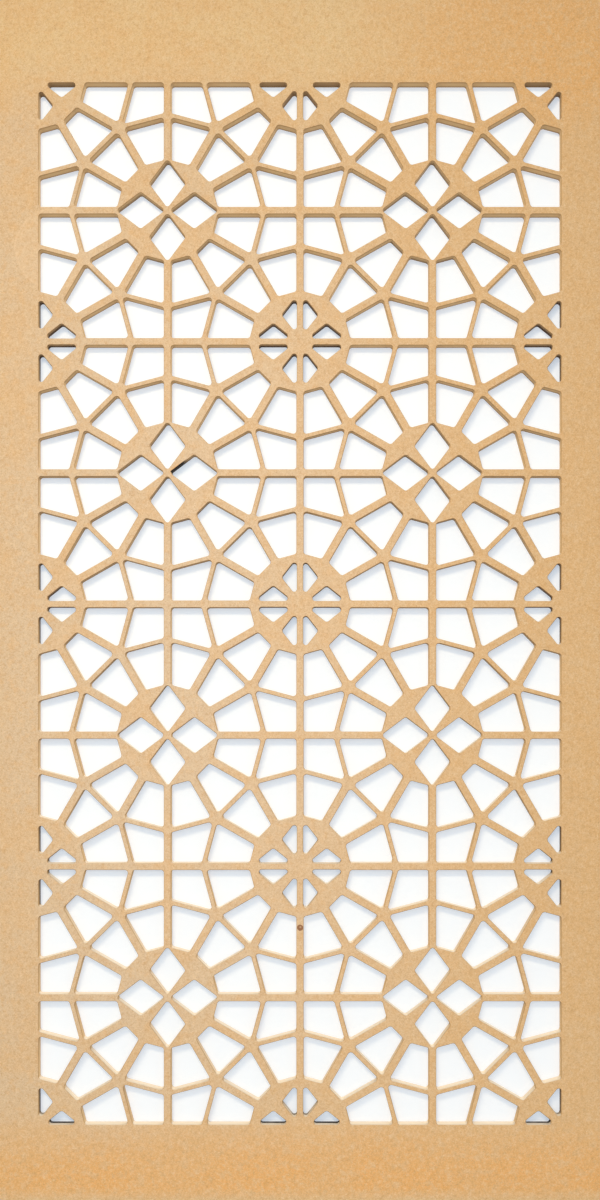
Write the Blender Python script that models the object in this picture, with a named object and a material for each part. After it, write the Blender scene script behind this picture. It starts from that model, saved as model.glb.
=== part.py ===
"""Mashrabiya screen: an upright lattice panel routed from one flat sheet of fibreboard.

Metres, +Z up. The front faces -Y and the back lies in the plane Y = 0. The origin is on the back, behind
the centre of the middle rosette. The lattice is a twelve-pointed star pattern on square tiles: a tile
rosette in the middle of every tile and a corner rosette where four tiles meet. Every opening is bounded by
the centre lines of its bars, drawn in by half of each bar's width.
"""
from math import cos, pi, radians, sin, sqrt, tan

import bpy
from mathutils import Vector

# The sheet
PANEL_WIDTH = 0.600
PANEL_HEIGHT = 1.200
SHEET_THICKNESS = 0.009

# The plain border, from the sheet's edge to the lattice window
SIDE_BORDER = 0.039
TOP_BORDER = 0.0838
BOTTOM_BORDER = 0.0761

# How far the outermost rosette centres lie behind the border's inner edge
SIDE_LAP = 0.0037
TOP_LAP = 0.0036
BOTTOM_LAP = 0.0043

# Whole tiles in the window
TILES_ACROSS = 2
TILES_UP = 4

# Bar widths. A straight bar is narrower where it crosses the plate of a corner rosette.
STRAIGHT_BAR = 0.0072
CROSSING_BAR = 0.0063
SLANTED_SPOKE = 0.0076
RING_BAR = 0.0043
SHARED_RING_BAR = 0.0048

# The solid twelve-sided plate in the middle of a rosette, from its centre to its corners
PLATE_RADIUS = 0.0512

# The diamond openings in the plates: from the centre to the inner tip, from the plate's corner to the
# outer tip, and the angle between the diamond's long axis and its sides
TILE_DIAMOND_START = 0.0025
TILE_DIAMOND_RIM = 0.0001
TILE_DIAMOND_SLOPE = radians(37)
CORNER_DIAMOND_START = 0.0036
CORNER_DIAMOND_RIM = 0.0015
CORNER_DIAMOND_SLOPE = radians(38.5)

# The round that the cutter leaves in a corner: the lattice openings, and the small diamonds
LATTICE_CORNER_RADIUS = 0.003
DIAMOND_CORNER_RADIUS = 0.0026

# A corner wider than this keeps its point, because the cutter's round is hardly seen there
SHARP_CORNER = radians(80)

# The sheet's colour and finish
BOARD_COLOUR = (0.72, 0.49, 0.26, 1.0)
BOARD_ROUGHNESS = 0.75

# Half a tile, from a tile rosette to a corner rosette
HALF_TILE_ACROSS = (PANEL_WIDTH - 2 * (SIDE_BORDER - SIDE_LAP)) / (2 * TILES_ACROSS)
HALF_TILE_UP = (PANEL_HEIGHT - (TOP_BORDER - TOP_LAP) - (BOTTOM_BORDER - BOTTOM_LAP)) / (2 * TILES_UP)

# The ring's corners on a half tile's unit square, where the 30 and 60 degree spokes of both rosettes meet
RING_REACH = sqrt(3) - 1
NEAR_SHARE = RING_REACH * cos(pi / 6)
FAR_SHARE = RING_REACH * sin(pi / 6)


def drawn_in(corners, clearances):
    """The corners of an outline once its side i, after corner i, has moved in by clearances[i]."""
    middle = sum(corners, Vector((0, 0))) / len(corners)
    normals = []
    for start, end in zip(corners, corners[1:] + corners[:1]):
        side = (end - start).normalized()
        normal = Vector((-side.y, side.x))
        normals.append(normal if normal.dot(middle - start) > 0 else -normal)
    moved = []
    for i, corner in enumerate(corners):
        n1, c1 = normals[i - 1], clearances[i - 1]
        n2, c2 = normals[i], clearances[i]
        turn = n1.x * n2.y - n1.y * n2.x
        moved.append(corner + Vector((c1 * n2.y - c2 * n1.y, c2 * n1.x - c1 * n2.x)) / turn)
    return moved


def routed(corners, radius):
    """An outline whose sharp corners are cut by a chord that touches the middle of the cutter's round."""
    points = []
    for before, corner, after in zip(corners[-1:] + corners[:-1], corners, corners[1:] + corners[:1]):
        back = (before - corner).normalized()
        ahead = (after - corner).normalized()
        half_angle = back.angle(ahead) / 2
        if 2 * half_angle < SHARP_CORNER:
            reach = radius * (1 / sin(half_angle) - 1) / cos(half_angle)
            points += [corner + back * reach, corner + ahead * reach]
        else:
            points.append(corner)
    return points


def spoke_openings(centre, rays, rims):
    """The openings between neighbouring spokes, from the plate's edge to the ring.

    A ray is a spoke's far end and half its width. A rim is half the width of the ring bar between two ends.
    """
    openings = []
    for (end, half_width), (next_end, next_half_width), rim in zip(rays, rays[1:], rims):
        foot, next_foot = (centre + (far - centre).normalized() * PLATE_RADIUS for far in (end, next_end))
        clearances = [half_width, rim, next_half_width, 0]
        corners = drawn_in([foot, end, next_end, next_foot], clearances)
        openings.append(routed(corners, LATTICE_CORNER_RADIUS))
    return openings


def whole_diamond(centre, along):
    """A tile rosette's diamond, on the side of the centre that the unit vector along points to."""
    inner, outer = TILE_DIAMOND_START, PLATE_RADIUS - TILE_DIAMOND_RIM
    half_width = (outer - inner) / 2 * tan(TILE_DIAMOND_SLOPE)
    middle = centre + along * (inner + outer) / 2
    aside = along.orthogonal() * half_width
    corners = [centre + along * inner, middle + aside, centre + along * outer, middle - aside]
    return routed(corners, DIAMOND_CORNER_RADIUS)


def half_diamond(centre, along, aside, half_bar):
    """The half of a corner rosette's diamond that a bar through the rosette leaves on the side of aside."""
    inner, outer = CORNER_DIAMOND_START, PLATE_RADIUS - CORNER_DIAMOND_RIM
    half_width = (outer - inner) / 2 * tan(CORNER_DIAMOND_SLOPE)
    tip = centre + along * (inner + outer) / 2 + aside * half_width
    corners = [centre + along * inner, centre + along * outer, tip]
    return routed(drawn_in(corners, [half_bar, 0, 0]), DIAMOND_CORNER_RADIUS)


def quarter_openings(middle, right, up, upright_half_bars, level_half_bars):
    """The openings in a quarter of a tile, from the tile rosette at middle to a corner rosette.

    The vectors right and up lead along the quarter's two edges to its corner. The half bars are those that
    pass through the corner rosette, each outside its plate and inside it. At the window's edge the border
    covers them.
    """
    upright_half_bar, upright_half_crossing = upright_half_bars
    level_half_bar, level_half_crossing = level_half_bars
    corner = middle + right + up
    low_node = middle + right * NEAR_SHARE + up * FAR_SHARE
    high_node = middle + right * FAR_SHARE + up * NEAR_SHARE
    half_straight, half_spoke = STRAIGHT_BAR / 2, SLANTED_SPOKE / 2
    half_ring, half_shared = RING_BAR / 2, SHARED_RING_BAR / 2
    ring_right, ring_up = middle + right * RING_REACH, middle + up * RING_REACH
    ring_down, ring_left = corner - up * RING_REACH, corner - right * RING_REACH

    spokes = [(low_node, half_spoke), (high_node, half_spoke)]
    rims = [half_ring, half_shared, half_ring]
    tile_rays = [(ring_right, half_straight), *spokes, (ring_up, half_straight)]
    corner_rays = [(ring_down, upright_half_bar), *spokes, (ring_left, level_half_bar)]
    openings = spoke_openings(middle, tile_rays, rims) + spoke_openings(corner, corner_rays, rims)

    for corners, half_bar in (
        ([ring_right, middle + right, ring_down, low_node], upright_half_bar),
        ([ring_up, middle + up, ring_left, high_node], level_half_bar),
    ):
        clearances = [half_straight, half_bar, half_ring, half_ring]
        openings.append(routed(drawn_in(corners, clearances), LATTICE_CORNER_RADIUS))

    to_left, to_down = -right.normalized(), -up.normalized()
    openings.append(half_diamond(corner, to_down, to_left, upright_half_crossing))
    openings.append(half_diamond(corner, to_left, to_down, level_half_crossing))
    return openings


def lattice_openings():
    """Every opening of the lattice, as outlines in the sheet's plane around the middle rosette."""
    openings = []
    inner_half_bars = (STRAIGHT_BAR / 2, CROSSING_BAR / 2)
    for column in range(TILES_ACROSS):
        for row in range(TILES_UP):
            tile_x = (2 * column + 1 - TILES_ACROSS) * HALF_TILE_ACROSS
            tile_y = (2 * row + 1 - TILES_UP) * HALF_TILE_UP
            middle = Vector((tile_x, tile_y))
            at_left, at_right = column == 0, column == TILES_ACROSS - 1
            at_bottom, at_top = row == 0, row == TILES_UP - 1
            for side, at_side in ((-1, at_left), (1, at_right)):
                for end, at_end, lap in ((-1, at_bottom, BOTTOM_LAP), (1, at_top, TOP_LAP)):
                    openings += quarter_openings(
                        middle,
                        Vector((side * HALF_TILE_ACROSS, 0)),
                        Vector((0, end * HALF_TILE_UP)),
                        (SIDE_LAP, SIDE_LAP) if at_side else inner_half_bars,
                        (lap, lap) if at_end else inner_half_bars,
                    )
            for along in ((1, 0), (0, 1), (-1, 0), (0, -1)):
                openings.append(whole_diamond(middle, Vector(along)))
    return openings


def sheet_outline():
    """The sheet's four corners around the middle rosette."""
    right = TILES_ACROSS * HALF_TILE_ACROSS - SIDE_LAP + SIDE_BORDER
    top = TILES_UP * HALF_TILE_UP - TOP_LAP + TOP_BORDER
    bottom = BOTTOM_LAP - BOTTOM_BORDER - TILES_UP * HALF_TILE_UP
    return [Vector(corner) for corner in ((-right, bottom), (right, bottom), (right, top), (-right, top))]


def add_outline(curve, points):
    """A closed outline of straight sides in a flat curve."""
    spline = curve.splines.new("POLY")
    spline.points.add(len(points) - 1)
    for spline_point, point in zip(spline.points, points):
        spline_point.co = (point.x, point.y, 0, 1)
    spline.use_cyclic_u = True


def board_material():
    """Bare medium-density fibreboard: warm tan and dull."""
    material = bpy.data.materials.new("fibreboard")
    material.use_nodes = True
    shader = material.node_tree.nodes["Principled BSDF"]
    shader.inputs["Base Color"].default_value = BOARD_COLOUR
    shader.inputs["Roughness"].default_value = BOARD_ROUGHNESS
    shader.inputs["Metallic"].default_value = 0.0
    return material


def build_panel(collection):
    """The whole screen, drawn flat, given its thickness and stood up with its back in the plane Y = 0."""
    curve = bpy.data.curves.new("screen_panel", "CURVE")
    curve.dimensions = "2D"
    curve.fill_mode = "BOTH"
    curve.extrude = SHEET_THICKNESS / 2
    add_outline(curve, sheet_outline())
    for opening in lattice_openings():
        add_outline(curve, opening)
    curve.materials.append(board_material())
    panel = bpy.data.objects.new("screen_panel", curve)
    panel.location = (0, -SHEET_THICKNESS / 2, 0)
    panel.rotation_euler = (pi / 2, 0, 0)
    collection.objects.link(panel)


for old_object in list(bpy.data.objects):
    bpy.data.objects.remove(old_object, do_unlink=True)

screen = bpy.data.collections.new("mashrabiya_screen")
bpy.context.scene.collection.children.link(screen)
build_panel(screen)
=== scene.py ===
"""A lattice screen routed from one sheet of fibreboard, fixed flat on a white wall.

Metres, +Z up. The front faces -Y, the back lies in the plane Y = 0, and the origin is on the back, behind
the centre of the middle rosette.
"""

from math import pi, radians, tan

import bmesh
import bpy
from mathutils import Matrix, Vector


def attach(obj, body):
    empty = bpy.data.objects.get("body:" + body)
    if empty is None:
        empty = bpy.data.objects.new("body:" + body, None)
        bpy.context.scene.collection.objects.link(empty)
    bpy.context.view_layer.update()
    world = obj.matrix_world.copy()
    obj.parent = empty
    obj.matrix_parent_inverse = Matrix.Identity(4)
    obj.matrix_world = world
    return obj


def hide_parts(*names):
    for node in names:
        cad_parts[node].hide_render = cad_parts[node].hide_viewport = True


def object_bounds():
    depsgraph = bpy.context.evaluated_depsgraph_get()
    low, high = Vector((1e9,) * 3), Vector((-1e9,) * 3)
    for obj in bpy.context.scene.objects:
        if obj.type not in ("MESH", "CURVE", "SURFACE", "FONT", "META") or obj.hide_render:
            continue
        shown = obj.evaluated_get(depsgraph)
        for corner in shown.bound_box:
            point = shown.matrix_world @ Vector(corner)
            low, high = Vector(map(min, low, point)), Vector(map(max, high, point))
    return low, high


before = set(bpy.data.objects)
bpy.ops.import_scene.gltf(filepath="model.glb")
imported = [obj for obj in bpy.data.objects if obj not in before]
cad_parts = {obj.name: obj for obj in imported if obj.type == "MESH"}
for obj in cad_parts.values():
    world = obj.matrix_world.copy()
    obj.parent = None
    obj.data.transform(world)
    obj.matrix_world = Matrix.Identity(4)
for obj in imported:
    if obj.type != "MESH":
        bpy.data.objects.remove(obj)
cad_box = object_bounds()

# The screen is one flat sheet of medium-density fibreboard. A round cutter has routed every opening right
# through it, which leaves the cutter's radius in each inner corner, and the arrises are lightly sanded. The
# sheet is bare, so its pressed faces, its furry cut walls and its few marks all show.
CUTTER_RADIUS = 0.0029
ROUND_STEPS = 5
LARGEST_SHARE_OF_SIDE = 0.49
SANDED_ARRIS = 0.00055
MERGE_DISTANCE = 0.00001
SMOOTH_TURN = radians(30)

cad_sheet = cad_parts["screen_panel"]
front, back = cad_box[0].y, cad_box[1].y
right_edge = cad_box[1].x

sheet = bpy.data.objects.new("routed_sheet", cad_sheet.data.copy())
bpy.context.scene.collection.objects.link(sheet)
bpy.ops.object.select_all(action="DESELECT")
sheet.select_set(True)
bpy.context.view_layer.objects.active = sheet
bpy.ops.mesh.customdata_custom_splitnormals_clear()

# Only the outlines on the front are kept: first the walls and the back go, then the edges inside the front
bpy.ops.object.mode_set(mode="EDIT")
bpy.ops.mesh.select_all(action="SELECT")
bpy.ops.mesh.remove_doubles(threshold=MERGE_DISTANCE)
bpy.ops.mesh.select_mode(type="FACE")
mesh = bmesh.from_edit_mesh(sheet.data)
for face in mesh.faces:
    faces_front = face.normal.y < -0.5
    face.select_set(not faces_front)
bpy.ops.mesh.delete(type="FACE")
bpy.ops.mesh.select_mode(type="EDGE")
mesh = bmesh.from_edit_mesh(sheet.data)
for edge in mesh.edges:
    edge.select_set(not edge.is_boundary)
bpy.ops.mesh.delete(type="EDGE")


def on_outline(corner):
    """Whether a corner is one of the sheet's own four, which the cutter and the sanding leave square."""
    return abs(corner.co.x) > right_edge - MERGE_DISTANCE


# Each inner corner is given the reach of the cutter's round along its two sides
mesh = bmesh.from_edit_mesh(sheet.data)
weight = mesh.verts.layers.float.new("bevel_weight_vert")
reaches = {}
for corner in mesh.verts:
    one_side, other_side = (edge.other_vert(corner).co - corner.co for edge in corner.link_edges)
    reach = CUTTER_RADIUS / tan(one_side.angle(other_side) / 2)
    shortest = min(one_side.length, other_side.length)
    reaches[corner] = 0 if on_outline(corner) else min(reach, shortest * LARGEST_SHARE_OF_SIDE)
longest_reach = max(reaches.values())
for corner, reach in reaches.items():
    corner[weight] = reach / longest_reach
bmesh.update_edit_mesh(sheet.data)
bpy.ops.object.mode_set(mode="OBJECT")
rounds = sheet.modifiers.new("cutter_rounds", "BEVEL")
rounds.affect = "VERTICES"
rounds.limit_method = "WEIGHT"
rounds.width = longest_reach
rounds.segments = ROUND_STEPS
bpy.ops.object.modifier_apply(modifier=rounds.name)


def select_rims(level):
    """Selects the edges that lie in the plane Y = level."""
    bpy.ops.mesh.select_all(action="DESELECT")
    for edge in bmesh.from_edit_mesh(sheet.data).edges:
        edge.select_set(all(abs(end.co.y - level) < MERGE_DISTANCE for end in edge.verts))


def deselect_outline():
    """Leaves out the four corners of the sheet."""
    bpy.ops.mesh.select_mode(type="VERT")
    for corner in bmesh.from_edit_mesh(sheet.data).verts:
        if on_outline(corner):
            corner.select_set(False)


# The walls go straight through, and the arrises of the openings are eased at both faces
bpy.ops.object.mode_set(mode="EDIT")
bpy.ops.mesh.select_all(action="SELECT")
bpy.ops.transform.translate(value=(0, SANDED_ARRIS, 0))
wall_height = back - front - 2 * SANDED_ARRIS
bpy.ops.mesh.extrude_edges_move(TRANSFORM_OT_translate={"value": (0, wall_height, 0)})
bpy.ops.mesh.select_all(action="SELECT")
bpy.ops.mesh.normals_make_consistent(inside=False)
for rim, step in ((front + SANDED_ARRIS, -SANDED_ARRIS), (back - SANDED_ARRIS, SANDED_ARRIS)):
    bpy.ops.mesh.select_mode(type="EDGE")
    select_rims(rim)
    bpy.ops.mesh.extrude_edges_move(TRANSFORM_OT_translate={"value": (0, step, 0)})
    deselect_outline()
    bpy.ops.transform.shrink_fatten(value=SANDED_ARRIS, use_even_offset=True)

# Both faces are filled between the openings
bpy.ops.mesh.select_mode(type="EDGE")
for level in (front, back):
    select_rims(level)
    bpy.ops.mesh.fill(use_beauty=True)
bpy.ops.mesh.select_all(action="SELECT")
bpy.ops.mesh.normals_make_consistent(inside=False)
bpy.ops.object.mode_set(mode="OBJECT")
bpy.ops.object.shade_smooth_by_angle(angle=SMOOTH_TURN)


class Tone:
    """A value that varies over a surface, so that sums on it are written as expressions."""

    def __init__(self, finish, socket):
        self.finish = finish
        self.socket = socket

    def reckon(self, operation, first, second=0.0):
        """A Math node on two tones or numbers."""
        return self.finish.node("ShaderNodeMath", {"operation": operation}, {0: first, 1: second})

    def __add__(self, other):
        return self.reckon("ADD", self, other)

    def __sub__(self, other):
        return self.reckon("SUBTRACT", self, other)

    def __rsub__(self, other):
        return self.reckon("SUBTRACT", other, self)

    def __mul__(self, other):
        return self.reckon("MULTIPLY", self, other)

    def __abs__(self):
        return self.reckon("ABSOLUTE", self)

    def folded(self, every):
        """The distance to the nearest even multiple of every, for a pattern that is mirrored repeatedly."""
        return self.reckon("PINGPONG", self, every)

    __radd__ = __add__
    __rmul__ = __mul__


class Finish:
    """A material, one method that adds any node to it, and the few mixtures that the finishes need."""

    def __init__(self, name):
        self.material = bpy.data.materials.new(name)
        self.material.use_nodes = True
        self.tree = self.material.node_tree
        self.shader = self.tree.nodes["Principled BSDF"]

    def node(self, kind, settings, sockets, output=0):
        """Adds a node, with its settings and the tones or values of its sockets, and gives one output."""
        made = self.tree.nodes.new(kind)
        for name, value in settings.items():
            setattr(made, name, value)
        for name, value in sockets.items():
            self.fill(made.inputs[name], value)
        return Tone(self, made.outputs[output])

    def fill(self, socket, value):
        """Links a tone to a socket, or sets a plain value on it."""
        if isinstance(value, Tone):
            self.tree.links.new(value.socket, socket)
        else:
            socket.default_value = value

    def part(self, vector, axis):
        """A vector's share along one axis."""
        return self.node("ShaderNodeSeparateXYZ", {}, {"Vector": vector}, axis)

    def noise(self, place, scale, detail=2.0, roughness=0.5):
        """Cloudy noise around 0.5, whose blots are about 1 / scale across."""
        sockets = {"Vector": place, "Scale": scale, "Detail": detail, "Roughness": roughness}
        return self.node("ShaderNodeTexNoise", {}, sockets)

    def rise(self, value, start, end):
        """0 before start and 1 after end, with a smooth step between. It falls where end is the lower."""
        sockets = {"Value": value, "From Min": start, "From Max": end}
        return self.node("ShaderNodeMapRange", {"interpolation_type": "SMOOTHSTEP"}, sockets)

    def cover(self, under, over, amount):
        """The colour under, covered with the colour over by amount."""
        return self.node("ShaderNodeMix", {"data_type": "RGBA"}, {0: amount, 6: under, 7: over}, 2)

    def distance(self, x, z, centre):
        """How far the point x, z of the sheet's face lies from centre, at whatever depth in the sheet."""
        across = self.node("ShaderNodeCombineXYZ", {}, {"X": x - centre[0], "Z": z - centre[1]})
        return self.node("ShaderNodeVectorMath", {"operation": "LENGTH"}, {0: across}, "Value")


board = Finish("fibreboard")
place = board.node("ShaderNodeTexCoord", {}, {}, "Object")
facing = board.node("ShaderNodeTexCoord", {}, {}, "Normal")
x = board.part(place, "X")
z = board.part(place, "Z")
depth = board.part(place, "Y") - front
upward = board.part(facing, "Z")

# The pressed faces: tan, clouded and finely grained, and short fibres lie on them at all angles. Painted sheen
# makes them paler at the left, painted light brighter and golden at the top left, and painted shade darker and
# more orange along the bottom and in the top right corner.
FACE_TAN = (0.735, 0.470, 0.225, 1)
FACE_WARM = (0.745, 0.445, 0.185, 1)
FACE_SHEEN_PALE = (0.694, 0.511, 0.327, 1)
FACE_ORANGE = (0.825, 0.405, 0.100, 1)
FACE_LIT_GOLD = (0.765, 0.537, 0.272, 1)
FACE_PALE = (0.720, 0.500, 0.280, 1)
GRAIN_DARK = (0.58, 0.320, 0.115, 1)
GRAIN_PALE = (0.84, 0.610, 0.370, 1)
DARK_FIBRE = (0.38, 0.185, 0.065, 1)
PALE_FIBRE = (0.90, 0.70, 0.45, 1)
FIBRE_LENGTH = 0.0024
FIBRE_WIDTH = 0.0006
DRIFT_REACH = 0.12
WARM_CLOUDS = 0.6
ORANGE_AT_TOP = 0.7
ORANGE_BETWEEN_MOTTLES = 0.7
MORE_ORANGE_ON_MOTTLES = 0.4

drift = DRIFT_REACH * board.noise(place, 5, 2) - DRIFT_REACH / 2
cloud = board.rise(board.noise(place, 12, 6, 0.7), 0.38, 0.66)
mottle = board.noise(place, 110, 4, 0.6)
blots = board.noise(place, 260, 3, 0.65)
grain = board.noise(place, 640, 2, 0.7)

# painted sheen: the faces are paler towards the left
painted_sheen = board.rise(abs(z + drift), 0.62, 0.46) * board.rise(x + drift, 0.20, -0.18)
# painted light: the faces are brighter and more golden at the top left
painted_top_light = board.rise(z + drift, 0.46, 0.56) * board.rise(x + drift, 0.22, 0.02)
# painted shade: the faces are darker and more orange along the bottom and in the top right corner
orange_below = board.rise(z + 0.3 * drift, -0.503, -0.571) * board.rise(z, -0.595, -0.581)
orange_above = board.rise(z + drift, 0.44, 0.56) * board.rise(x + drift, 0.04, 0.24)
orange = orange_below + orange_above * ORANGE_AT_TOP
on_mottles = MORE_ORANGE_ON_MOTTLES * board.rise(mottle, 0.40, 0.60)
orange = orange * (ORANGE_BETWEEN_MOTTLES + on_mottles)

face_colour = board.cover(FACE_TAN, FACE_SHEEN_PALE, painted_sheen)
face_colour = board.cover(face_colour, FACE_LIT_GOLD, painted_top_light)
face_colour = board.cover(face_colour, FACE_ORANGE, orange)
face_colour = board.cover(face_colour, FACE_WARM, cloud * WARM_CLOUDS)
for colour, spots, start, end, share in (
    (FACE_WARM, mottle, 0.48, 0.66, 0.45),
    (FACE_PALE, mottle, 0.52, 0.34, 0.38),
    (GRAIN_DARK, blots, 0.50, 0.72, 0.42),
    (GRAIN_PALE, blots, 0.50, 0.28, 0.42),
    (GRAIN_DARK, grain, 0.52, 0.70, 0.40),
    (GRAIN_PALE, grain, 0.48, 0.30, 0.40),
):
    face_colour = board.cover(face_colour, colour, board.rise(spots, start, end) * share)

fibre_height = board.noise(place, 1400, 2)
for turn, colour, share in (
    (20, DARK_FIBRE, 0.35),
    (140, DARK_FIBRE, 0.35),
    (80, PALE_FIBRE, 0.40),
    (170, PALE_FIBRE, 0.40),
):
    lie = {"Vector": place, "Rotation": (0, radians(turn), 0)}
    turned = board.node("ShaderNodeMapping", {}, lie)
    stretch = {"Vector": turned, "Scale": (1 / FIBRE_LENGTH, 1 / FIBRE_WIDTH, 1 / FIBRE_WIDTH)}
    strand = board.noise(board.node("ShaderNodeMapping", {}, stretch), 1, 1)
    fibre = board.rise(strand, 0.60, 0.70)
    face_colour = board.cover(face_colour, colour, fibre * share)
    fibre_height = fibre_height + fibre * 0.5

# The cut walls: denser and darker towards both faces, paler and furry in the core. The ledges, which face up,
# are painted paler as if lit from above, and the undersides carry painted shade, more of it lower on the
# sheet, towards the back and at the arrises.
DENSE_CUT = (0.54, 0.330, 0.140, 1)
CORE_CUT = (0.70, 0.475, 0.240, 1)
LEDGE_LIGHT = (0.84, 0.74, 0.59, 1)
UNDERSIDE_SHADE = (0.16, 0.080, 0.028, 1)
DENSE_LAYER = 0.0022
LEDGE_LIGHT_SHARE = 0.85
UNDERSIDE_SHADE_SHARE = 0.18
MORE_SHADE_BELOW = 0.34
MORE_SHADE_AT_BACK = 0.52
MORE_SHADE_ON_ARRIS = 0.25

thickness = back - front
from_face = thickness / 2 - abs(depth - thickness / 2)
fur = board.noise(place, 900, 3, 0.7)
core = board.rise(from_face, 0.0004, DENSE_LAYER) * (0.6 + 0.8 * fur)
wall_colour = board.cover(DENSE_CUT, CORE_CUT, core)
# painted highlight: walls that face up are painted paler, as if lit from above
ledge_light = board.rise(upward, 0.25, 0.8)
wall_colour = board.cover(wall_colour, LEDGE_LIGHT, ledge_light * LEDGE_LIGHT_SHARE)

# painted shade: walls that face down are darker, more so lower on the sheet, towards the back and at the
# arrises
underside = board.rise(upward, -0.1, -0.7)
far_below = board.rise(z, 0.30, 0.05)
streaks = 0.6 + 0.8 * board.noise(place, 60, 2)
back_shade_line = board.rise(depth, thickness * 0.55, thickness * 0.95) * streaks
arris = board.rise(from_face, SANDED_ARRIS * 1.5, SANDED_ARRIS)
underside_shade = UNDERSIDE_SHADE_SHARE + far_below * MORE_SHADE_BELOW
underside_shade = underside_shade + back_shade_line * MORE_SHADE_AT_BACK + arris * MORE_SHADE_ON_ARRIS
wall_colour = board.cover(wall_colour, UNDERSIDE_SHADE, underside * underside_shade)

# The walls of the small openings in the rosettes carry painted deep shade towards the back: the half diamonds
# of the corner rosettes most, and those along the bottom border painted near black.
DEEP_SHADE = (0.045, 0.018, 0.006, 1)
SCORCH_AND_SHADE_BLACK = (0.012, 0.006, 0.003, 1)
HALF_TILE_ACROSS = 0.13235
HALF_TILE_UP = 0.1310
ROSETTE_RADIUS = 0.0512
HALVES_DEEP_SHADE = 0.95
LESS_SHADE_ABOVE = 0.6
WHOLES_DEEP_SHADE = 0.45
HALVES_UNDERSIDE_SHADE = 0.5

across = x.folded(HALF_TILE_ACROSS)
up = z.folded(HALF_TILE_UP)
to_corner_rosette = board.distance(across, up, (0, 0))
to_tile_rosette = board.distance(across, up, (HALF_TILE_ACROSS, HALF_TILE_UP))
in_window = board.rise(abs(x), 0.290, 0.280)
small_half = board.rise(to_corner_rosette, ROSETTE_RADIUS - 0.0018, ROSETTE_RADIUS - 0.0022)
small_half = small_half * in_window
small_whole = board.rise(to_tile_rosette, ROSETTE_RADIUS, ROSETTE_RADIUS - 0.001)
low = board.rise(z, -0.506, -0.514)
high = board.rise(z, 0.36, 0.50)
shade_depth = board.rise(depth, thickness * 0.15, thickness * 0.60)
black_shade_depth = board.rise(depth, thickness * 0.35, thickness * 0.55)
shade_streaks = 0.6 + 0.7 * board.noise(place, 45, 2)
halves = small_half * (HALVES_DEEP_SHADE - LESS_SHADE_ABOVE * high) * (1 - ledge_light)
wholes = small_whole * underside * WHOLES_DEEP_SHADE
deep_shade_amount = shade_depth * (halves + wholes) * shade_streaks
# painted shade on the undersides of the half diamonds
wall_colour = board.cover(wall_colour, UNDERSIDE_SHADE, small_half * underside * HALVES_UNDERSIDE_SHADE)
# painted deep shade in the small openings, towards the back
wall_colour = board.cover(wall_colour, DEEP_SHADE, deep_shade_amount)
# painted near-black shade at the back of the half diamonds along the bottom border
wall_colour = board.cover(wall_colour, SCORCH_AND_SHADE_BLACK, small_half * low * black_shade_depth * shade_streaks)

cut = board.rise(from_face, 0.00002, SANDED_ARRIS * 0.6)
colour = board.cover(face_colour, wall_colour, cut)

# The scorched wall: in one diamond the cutter has charred an upper side, and warmed the face beside it
SCORCH_START = Vector((-0.1288, 0.1311))
SCORCH_END = Vector((-0.1107, 0.1449))
SCORCH_HALF_WIDTH = 0.0014
WARMED = 0.5

along = (SCORCH_END - SCORCH_START).normalized()
scorch_length = (SCORCH_END - SCORCH_START).length
run = (x - SCORCH_START.x) * along.x + (z - SCORCH_START.y) * along.y
aside = abs((z - SCORCH_START.y) * along.x - (x - SCORCH_START.x) * along.y)
scorch = board.rise(aside, SCORCH_HALF_WIDTH * 1.3, SCORCH_HALF_WIDTH)
scorch = scorch * board.rise(run, -0.0005, 0.001) * board.rise(run, scorch_length, scorch_length - 0.008)
on_arris = board.rise(aside, 0.0018, 0.0013)
warmed = board.rise(aside, 0.0045, 0.0015) * board.rise(run, -0.003, 0.003) * board.rise(run, 0.016, 0.006)
colour = board.cover(colour, FACE_ORANGE, warmed * (1 - cut) * WARMED)
colour = board.cover(colour, SCORCH_AND_SHADE_BLACK, scorch * (cut + on_arris * (1 - cut)))

# The stain: water has dried on the left border and left a pale round with a paler rim
STAIN = (-0.2444, 0.3548)
STAIN_RADIUS = 0.041
STAIN_RIM = 0.001
STAIN_PALE = (0.90, 0.66, 0.42, 1)

on_front = board.rise(depth, 0.0004, 0.0002)
wobble = board.noise(place, 90, 2) * 0.004
from_stain = board.distance(x, z, STAIN) + wobble
stain = board.rise(from_stain, STAIN_RADIUS + 0.0025, STAIN_RADIUS + 0.0008)
rim = board.rise(abs(from_stain - STAIN_RADIUS - STAIN_RIM), 0.0016, 0.0004)
colour = board.cover(colour, STAIN_PALE, (stain * 0.16 + rim * 0.14) * on_front)

# The ring: a hot tool has touched the middle bar and burnt a brown ring into its front
RING_MARK = (0.0001, -0.3231)
RING_CORE = (0.0004, -0.3225)
RING_RADIUS = 0.0040
RING_BROWN = (0.27, 0.088, 0.004, 1)
IN_CORE = 0.42
AROUND_CORE = 0.56

ragged = board.noise(place, 500, 2) * 0.001
ring = board.rise(board.distance(x, z, RING_MARK) + ragged, RING_RADIUS, RING_RADIUS - 0.0008)
hollow = board.rise(board.distance(x, z, RING_CORE) + ragged, 0.0009, 0.0020)
colour = board.cover(colour, RING_BROWN, ring * (IN_CORE + AROUND_CORE * hollow) * on_front)

# The pressed faces have a dull sheen, and the cut and the scorched walls none
FACE_ROUGHNESS = 0.30
BOARD_IOR = 1.6
RELIEF_HEIGHT = 0.00012

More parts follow.
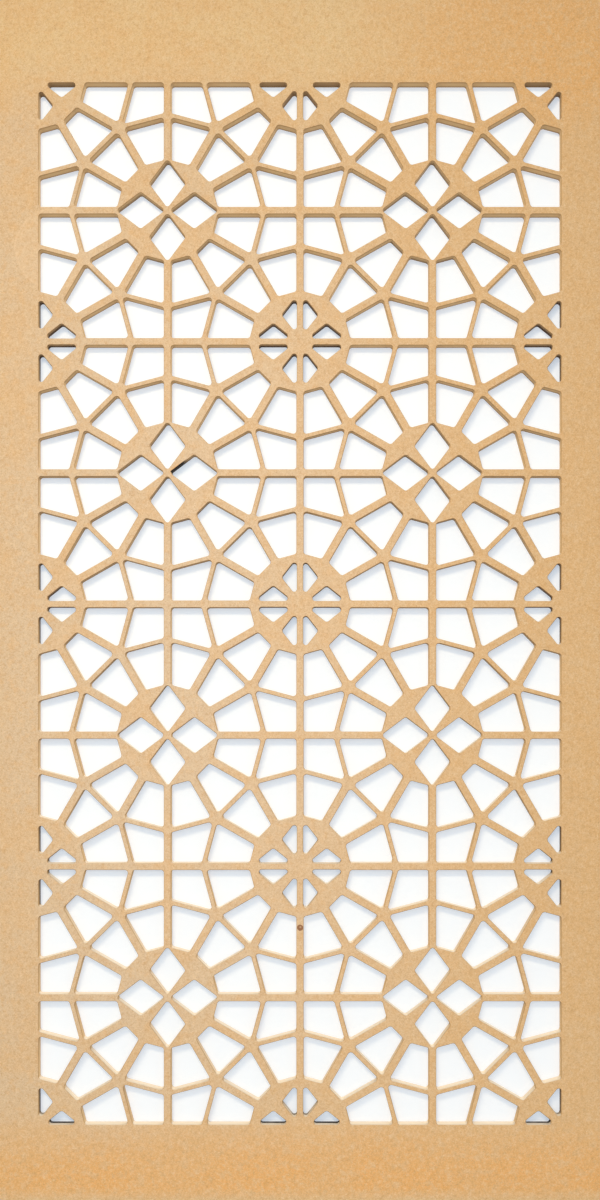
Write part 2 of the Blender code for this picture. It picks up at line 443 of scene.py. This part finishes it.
board.fill(board.shader.inputs["Base Color"], colour)
roughness = FACE_ROUGHNESS + 0.10 * blots + 0.70 * cut + 0.60 * scorch
board.fill(board.shader.inputs["Roughness"], roughness)
relief = fibre_height * (1 - cut) * 0.35 + fur * cut * 2.0
bump = board.node("ShaderNodeBump", {}, {"Height": relief, "Strength": 0.6, "Distance": RELIEF_HEIGHT})
board.fill(board.shader.inputs["Normal"], bump)
board.shader.inputs["IOR"].default_value = BOARD_IOR
sheet.data.materials.clear()
sheet.data.materials.append(board.material)

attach(sheet, "root")
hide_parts("screen_panel")

# The stage is a white wall, on which the screen hangs flat, and the pale floor that it stands on. From behind
# the wall is clear, and it throws no shadow, so that the screen's own back is seen in the same light.
WALL_SIZE = 4
WALL_GAP = 0.0004
WALL_COLOUR = (0.64, 0.63, 0.60, 1)
WALL_GLOW = (0.325, 0.391, 0.478, 1)
WALL_ROUGHNESS = 0.9
FLOOR_SIZE = 12
FLOOR_DROP = 0.25
FLOOR_COLOUR = (0.72, 0.71, 0.69, 1)
FLOOR_ROUGHNESS = 0.8

floor_level = cad_box[0].z - FLOOR_DROP

wall_paint = Finish("white_wall")
wall_paint.shader.inputs["Base Color"].default_value = WALL_COLOUR
wall_paint.shader.inputs["Roughness"].default_value = WALL_ROUGHNESS
wall_paint.shader.inputs["Specular IOR Level"].default_value = 0
wall_paint.shader.inputs["Emission Color"].default_value = WALL_GLOW
wall_paint.shader.inputs["Emission Strength"].default_value = 1
painted = Tone(wall_paint, wall_paint.shader.outputs[0])
clear = wall_paint.node("ShaderNodeBsdfTransparent", {}, {})
from_behind = wall_paint.node("ShaderNodeNewGeometry", {}, {}, "Backfacing")
either = wall_paint.node("ShaderNodeMixShader", {}, {0: from_behind, 1: painted, 2: clear})
wall_paint.fill(wall_paint.tree.nodes["Material Output"].inputs[0], either)

wall_place = (0, back + WALL_GAP, floor_level + WALL_SIZE / 2)
bpy.ops.mesh.primitive_plane_add(size=WALL_SIZE, location=wall_place, rotation=(pi / 2, 0, 0))
wall = bpy.context.active_object
wall.name = "wall"
wall.data.materials.append(wall_paint.material)
wall.visible_shadow = False

floor_paint = Finish("pale_floor")
floor_paint.shader.inputs["Base Color"].default_value = FLOOR_COLOUR
floor_paint.shader.inputs["Roughness"].default_value = FLOOR_ROUGHNESS
bpy.ops.mesh.primitive_plane_add(size=FLOOR_SIZE, location=(0, 0, floor_level))
floor = bpy.context.active_object
floor.name = "floor"
floor.data.materials.append(floor_paint.material)

# The light is soft and even, as in a studio: a bright sky all round, a warm strip high on the left that throws
# the bars' shadows down the wall, a wide cool panel in front, and a lamp for the views from behind.
STUDIO_TINT = (0.94, 0.97, 1.0, 1)
STUDIO_STRENGTH = 0.40

world = bpy.data.worlds.new("studio")
bpy.context.scene.world = world
world.use_nodes = True
world.node_tree.nodes["Background"].inputs["Color"].default_value = STUDIO_TINT
world.node_tree.nodes["Background"].inputs["Strength"].default_value = STUDIO_STRENGTH


def soft_box(name, place, aim, size, power, tint, spread=180):
    """A lamp with a wide flat face, turned towards aim. A spread below 180 degrees is a grid on its face."""
    light = bpy.data.lights.new(name, "AREA")
    light.shape = "RECTANGLE"
    light.size, light.size_y = size
    light.energy = power
    light.color = tint
    light.spread = radians(spread)
    lamp = bpy.data.objects.new(name, light)
    lamp.location = place
    lamp.rotation_euler = (Vector(aim) - Vector(place)).to_track_quat("-Z", "Y").to_euler()
    bpy.context.scene.collection.objects.link(lamp)
    return lamp


strip = soft_box(
    "strip_above",
    place=(-0.42, -1.45, 1.02),
    aim=(0.15, 0, -0.8),
    size=(0.65, 0.24),
    power=8.5,
    tint=(1, 0.84, 0.58),
    spread=127,
)
strip.visible_glossy = False
soft_box(
    "window_panel",
    place=(-0.15, -1.75, 0.1),
    aim=(-0.15, 0, 0.1),
    size=(0.95, 2.0),
    power=10,
    tint=(0.92, 0.97, 1.0),
)
soft_box(
    "rear_fill",
    place=(1.2, 2.2, 1.6),
    aim=(0, 0, 0),
    size=(1.5, 1.5),
    power=40,
    tint=(1, 1, 1),
)

# The camera looks straight at the screen from a little below its middle, and the lens is shifted so that the
# screen fills the frame
eye = bpy.data.cameras.new("camera")
eye.lens = 31.6
eye.sensor_width = 36
eye.shift_x = -0.0081
eye.shift_y = 0.0868
camera = bpy.data.objects.new("camera", eye)
camera.location = (0.0097, -1.0602, -0.100)
camera.rotation_euler = (pi / 2, 0, 0)
bpy.context.scene.collection.objects.link(camera)
bpy.context.scene.camera = camera
bpy.context.scene.view_settings.view_transform = "Standard"
